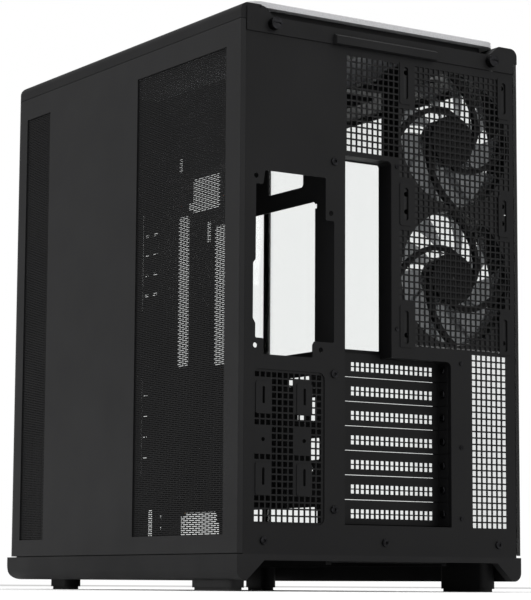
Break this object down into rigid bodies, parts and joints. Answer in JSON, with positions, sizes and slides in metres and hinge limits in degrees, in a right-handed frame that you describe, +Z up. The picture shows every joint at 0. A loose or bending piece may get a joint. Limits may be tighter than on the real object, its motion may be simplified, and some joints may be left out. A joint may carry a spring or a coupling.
{
  "type": "desktop computer tower",
  "caption": "Upright dual-chamber computer case with glass front and side, perforated steel side and rear, rear fans, card slot covers and lift-off panels.",
  "frame": {"origin": "on the standing surface, under the middle of the tower's box", "axes": "+Z up, -Y to the front glass, +Y to the rear with the card slots, +X to the perforated steel side"},
  "size_m": [0.29, 0.404, 0.4814],
  "materials": {
    "base_plastic": "fine moulded texture",
    "foot_plastic": "fine moulded texture",
    "pad_rubber": "matt",
    "filter_plastic": "satin",
    "filter_gauze": "woven nylon mesh",
    "frame_steel": "fine powder coat",
    "rear_steel": "fine powder coat",
    "pocket_steel": "fine powder coat",
    "cover_steel": "fine powder coat",
    "screw_steel": "black zinc",
    "standoff_brass": "bright",
    "cover_plastic": "fine moulded texture",
    "rim_plastic": "satin pale grey",
    "top_gauze": "perforated sheet, painted",
    "side_steel": "fine powder coat",
    "side_gauze": "perforated sheet, painted",
    "pane_glass": "clear tempered",
    "strip_steel": "satin black",
    "fan_plastic": "satin",
    "blade_plastic": "smoked translucent",
    "port_plastic": "satin",
    "port_metal": "plated",
    "jack_plastic": "smooth",
    "board_laminate": "solder mask"
  },
  "bodies": {
    "chassis": {"base_skirt": "base_plastic", "feet": "foot_plastic", "foot_pads": "pad_rubber", "filter_rails": "filter_plastic", "floor_pan": "frame_steel", "motherboard_tray": "frame_steel", "top_plate": "frame_steel", "front_bulkhead": "frame_steel", "drive_cage": "frame_steel", "rear_panel": "rear_steel", "psu_grille": "rear_steel", "upper_grille": "rear_steel", "fan_grille_upper": "rear_steel", "fan_grille_lower": "rear_steel", "side_vent": "rear_steel", "rear_pocket": "pocket_steel", "slot_cover_1": "cover_steel", "slot_cover_2": "cover_steel", "slot_cover_3": "cover_steel", "slot_cover_4": "cover_steel", "slot_cover_5": "cover_steel", "slot_cover_6": "cover_steel", "slot_cover_7": "cover_steel", "slot_screws": "screw_steel", "rear_screws": "screw_steel", "rear_rivets": "screw_steel", "standoffs": "standoff_brass", "top_cover": "cover_plastic", "front_cover": "side_steel", "fan_frame_upper": "fan_plastic", "fan_frame_lower": "fan_plastic", "port_strip": "port_plastic", "drive_sled_1": "port_plastic", "drive_sled_2": "port_plastic", "drive_sled_3": "port_plastic", "usb_a_ports": "port_metal", "usb_c_port": "port_metal", "audio_jack": "jack_plastic", "port_board": "board_laminate"},
    "side_panel": {"side_panel": "side_steel", "side_mesh_wide": "side_gauze", "side_mesh_narrow": "side_gauze"},
    "left_glass": {"left_glass": "pane_glass", "left_glass_strips": "strip_steel"},
    "front_glass": {"front_glass": "pane_glass", "front_glass_strips": "strip_steel"},
    "top_panel": {"top_rim": "rim_plastic", "top_mesh": "top_gauze", "top_skirt": "cover_plastic"},
    "dust_filter": {"filter_frame": "filter_plastic", "filter_mesh": "filter_gauze"},
    "upper_fan": {"fan_rotor_upper": "blade_plastic"},
    "lower_fan": {"fan_rotor_lower": "blade_plastic"},
    "power_button": {"power_button": "port_plastic"},
    "reset_button": {"reset_button": "port_plastic"},
    "left_thumbscrew": {"thumbscrew_left": "screw_steel"},
    "right_thumbscrew": {"thumbscrew_right": "screw_steel"},
    "front_bracket": {"drive_bracket_1": "frame_steel"},
    "rear_bracket": {"drive_bracket_2": "frame_steel"}
  },
  "joints": [
    {"name": "side_panel_off", "type": "slide", "parent": "chassis", "child": "side_panel", "axis": [1, 0, 0], "range_m": [0, 0.06]},
    {"name": "left_glass_off", "type": "slide", "parent": "chassis", "child": "left_glass", "axis": [-1, 0, 0], "range_m": [0, 0.06]},
    {"name": "front_glass_off", "type": "slide", "parent": "chassis", "child": "front_glass", "axis": [0, -1, 0], "range_m": [0, 0.06]},
    {"name": "top_panel_off", "type": "slide", "parent": "chassis", "child": "top_panel", "axis": [0, 0, 1], "range_m": [0, 0.06]},
    {"name": "dust_filter_out", "type": "slide", "parent": "chassis", "child": "dust_filter", "axis": [0, -1, 0], "range_m": [0, 0.3]},
    {"name": "upper_fan_spin", "type": "hinge", "parent": "chassis", "child": "upper_fan", "pos_m": [-0.0756, 0.1905, 0.386], "axis": [0, 1, 0], "continuous": true},
    {"name": "lower_fan_spin", "type": "hinge", "parent": "chassis", "child": "lower_fan", "pos_m": [-0.0756, 0.1905, 0.266], "axis": [0, 1, 0], "continuous": true},
    {"name": "power_press", "type": "slide", "parent": "chassis", "child": "power_button", "axis": [0, 1, 0], "range_m": [0, 0.0014], "stiffness_N_per_m": 900},
    {"name": "reset_press", "type": "slide", "parent": "chassis", "child": "reset_button", "axis": [0, 1, 0], "range_m": [0, 0.001], "stiffness_N_per_m": 700},
    {"name": "left_thumbscrew_turn", "type": "hinge", "parent": "chassis", "child": "left_thumbscrew", "pos_m": [-0.114, 0.197, 0.4603], "axis": [0, 1, 0], "continuous": true},
    {"name": "right_thumbscrew_turn", "type": "hinge", "parent": "chassis", "child": "right_thumbscrew", "pos_m": [0.114, 0.197, 0.4603], "axis": [0, 1, 0], "continuous": true},
    {"name": "front_bracket_off", "type": "slide", "parent": "chassis", "child": "front_bracket", "axis": [1, 0, 0], "range_m": [0, 0.025]},
    {"name": "rear_bracket_off", "type": "slide", "parent": "chassis", "child": "rear_bracket", "axis": [1, 0, 0], "range_m": [0, 0.025]}
  ]
}
